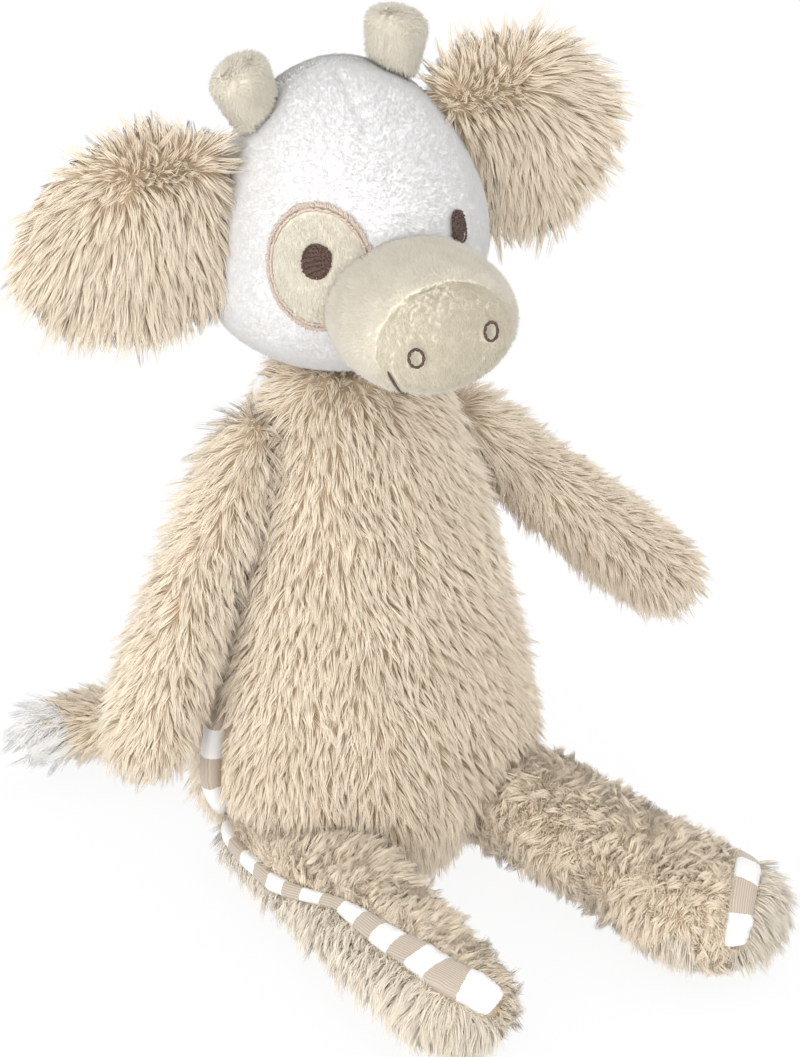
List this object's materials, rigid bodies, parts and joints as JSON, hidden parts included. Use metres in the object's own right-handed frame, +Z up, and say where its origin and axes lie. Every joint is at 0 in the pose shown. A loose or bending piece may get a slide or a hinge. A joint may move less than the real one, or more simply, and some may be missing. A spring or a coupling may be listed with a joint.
{
  "type": "plush cow",
  "caption": "Seated plush cow with long beige fur, white velour head, cream muzzle and horns, striped side gussets, floppy ears and stuffed limbs that bend at their seams.",
  "frame": {"origin": "middle of the flat seat, on the surface that the cow sits on", "axes": "+Z up, the cow's torso faces -Y, +X is the cow's left"},
  "size_m": [0.2444, 0.2935, 0.309],
  "materials": {
    "beige_fur": "long warm beige pile, darker at its roots",
    "white_fur": "long off-white pile",
    "white_velour": "short white velour",
    "cream_velour": "short cream plush",
    "striped_jersey": "knitted jersey in white and greige stripes",
    "beige_thread": "satin stitch in beige thread",
    "brown_thread": "satin stitch in dark brown thread",
    "fibre_stuffing": "loose white polyester fibre"
  },
  "bodies": {
    "torso": {"torso_front_panel": "beige_fur", "torso_back_panel": "beige_fur", "torso_gusset_right": "striped_jersey", "torso_gusset_left": "striped_jersey", "torso_stuffing": "fibre_stuffing"},
    "neck": {"neck_stuffing": "fibre_stuffing"},
    "head": {"head_face_panel": "white_velour", "head_back_panel": "white_velour", "head_stuffing": "fibre_stuffing", "muzzle_nose_panel": "cream_velour", "muzzle_bridge_panel": "cream_velour", "muzzle_stuffing": "fibre_stuffing", "eye_patch": "cream_velour", "eye_patch_stitching": "beige_thread", "eye_right": "brown_thread", "eye_left": "brown_thread", "nostril_right": "brown_thread", "nostril_left": "brown_thread", "mouth_stitching": "brown_thread", "horn_right_cover": "cream_velour", "horn_right_stuffing": "fibre_stuffing", "horn_left_cover": "cream_velour", "horn_left_stuffing": "fibre_stuffing"},
    "ear_right": {"ear_right_front": "beige_fur", "ear_right_back": "beige_fur"},
    "ear_left": {"ear_left_front": "beige_fur", "ear_left_back": "beige_fur"},
    "arm_right": {"arm_right_outer_panel": "beige_fur", "arm_right_inner_panel": "beige_fur", "arm_right_stuffing": "fibre_stuffing"},
    "arm_left": {"arm_left_outer_panel": "beige_fur", "arm_left_inner_panel": "beige_fur", "arm_left_stuffing": "fibre_stuffing"},
    "leg_right": {"leg_right_top_panel": "beige_fur", "leg_right_sole_panel": "beige_fur", "leg_right_gusset": "striped_jersey", "leg_right_stuffing": "fibre_stuffing"},
    "leg_left": {"leg_left_top_panel": "beige_fur", "leg_left_sole_panel": "beige_fur", "leg_left_gusset": "striped_jersey", "leg_left_stuffing": "fibre_stuffing"},
    "tail": {"tail_cover": "beige_fur", "tail_tip_cover": "white_fur", "tail_stuffing": "fibre_stuffing"}
  },
  "joints": [
    {"name": "neck_turn", "type": "hinge", "parent": "torso", "child": "neck", "pos_m": [0, 0.005, 0.236], "axis": [0, 0, 1], "range_deg": [-45, 75], "stiffness_Nm_per_rad": 0.4},
    {"name": "head_nod", "type": "hinge", "parent": "neck", "child": "head", "pos_m": [0, 0.005, 0.236], "axis": [0.9565, -0.2563, 0.1392], "range_deg": [-25, 12], "stiffness_Nm_per_rad": 1.2},
    {"name": "ear_right_swing", "type": "hinge", "parent": "head", "child": "ear_right", "pos_m": [-0.03874, 0.01538, 0.26736], "axis": [-0.7609, 0.2039, 0.616], "range_deg": [-25, 25], "stiffness_Nm_per_rad": 0.05},
    {"name": "ear_left_swing", "type": "hinge", "parent": "head", "child": "ear_left", "pos_m": [0.02889, -0.00274, 0.2772], "axis": [-0.5674, 0.152, -0.8093], "range_deg": [-25, 25], "stiffness_Nm_per_rad": 0.05},
    {"name": "arm_right_lift", "type": "hinge", "parent": "torso", "child": "arm_right", "pos_m": [-0.05517, 0.00727, 0.16], "axis": [0, 1, 0], "range_deg": [0, 80], "stiffness_Nm_per_rad": 0.3},
    {"name": "arm_left_lift", "type": "hinge", "parent": "torso", "child": "arm_left", "pos_m": [0.05517, 0.00727, 0.16], "axis": [0, -1, 0], "range_deg": [-25, 55], "stiffness_Nm_per_rad": 0.3},
    {"name": "leg_right_hip", "type": "hinge", "parent": "torso", "child": "leg_right", "pos_m": [-0.033, 0.004, 0.0205], "axis": [0.9877, -0.1564, 0], "range_deg": [0, 90], "stiffness_Nm_per_rad": 0.8},
    {"name": "leg_left_hip", "type": "hinge", "parent": "torso", "child": "leg_left", "pos_m": [0.033, 0.004, 0.0205], "axis": [0.9962, 0.0872, 0], "range_deg": [0, 90], "stiffness_Nm_per_rad": 0.8},
    {"name": "tail_swing", "type": "hinge", "parent": "torso", "child": "tail", "pos_m": [0, 0.05532, 0.022], "axis": [0, 0, 1], "range_deg": [-40, 15], "stiffness_Nm_per_rad": 0.1}
  ]
}
